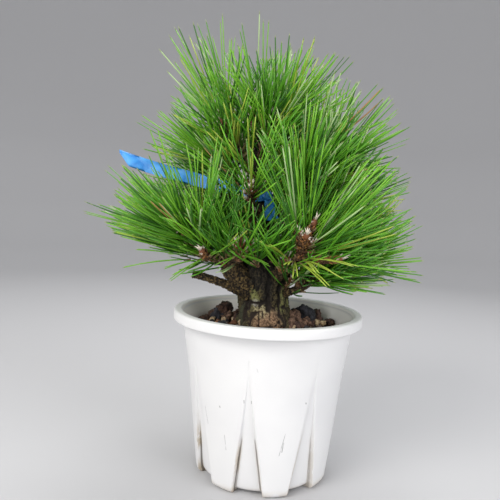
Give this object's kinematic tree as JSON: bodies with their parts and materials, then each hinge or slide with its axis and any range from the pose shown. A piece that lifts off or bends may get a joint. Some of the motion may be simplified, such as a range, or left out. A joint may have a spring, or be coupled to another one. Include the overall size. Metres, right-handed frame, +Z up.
{
  "type": "black pine bonsai in a nursery pot",
  "caption": "Small black pine bonsai with a stout trunk and dense upright needle fans, growing in a white slotted plastic nursery pot that stands on its flat underside.",
  "frame": {"origin": "centre of the pot's flat underside, on the floor", "axes": "+Z up along the pot's axis, -Y towards the front of the tree, +X to its right as seen from the front"},
  "size_m": [0.2618, 0.2355, 0.3527],
  "materials": {
    "pot_plastic": "satin moulded white plastic with fine scratches and stained slits",
    "potting_grit": "coarse dry mineral grains and bark chips",
    "bark": "rough fissured pine bark with lichen",
    "ribbon": "thin blue marker tape, slightly glossy",
    "needles": "glossy green needles"
  },
  "bodies": {
    "root": {"pot": "pot_plastic", "soil": "potting_grit", "trunk": "bark", "bough_left": "bark", "bough_left_back": "bark", "bough_right": "bark", "bough_low_right": "bark", "bough_front_right": "bark", "bough_back_left_low": "bark", "bough_back_low": "bark", "bough_back_right_low": "bark", "bough_centre_front": "bark", "bough_centre_right": "bark", "bough_mid_right": "bark", "bough_mid_left": "bark", "bough_back_left_mid": "bark", "bough_back_right_mid": "bark", "bough_right_shoulder": "bark", "bough_right_crown": "bark", "bough_upper_left": "bark", "bough_upper_right": "bark", "bough_upper_back": "bark", "pruned_stub": "bark", "marker_ribbon": "ribbon", "mass_low_left": "needles", "mass_inner_front": "needles", "mass_low_left_back": "needles", "mass_low_right": "needles", "mass_low_right_front": "needles", "mass_front_right": "needles", "mass_back_left_low": "needles", "mass_back_low": "needles", "mass_back_right_low": "needles", "mass_centre_front": "needles", "mass_centre_right": "needles", "mass_mid_right": "needles", "mass_mid_left": "needles", "mass_back_left_mid": "needles", "mass_back_right_mid": "needles", "mass_right_shoulder": "needles", "mass_right_crown": "needles", "mass_upper_left": "needles", "mass_upper_right": "needles", "mass_upper_back": "needles", "mass_leader": "needles"}
  },
  "joints": []
}
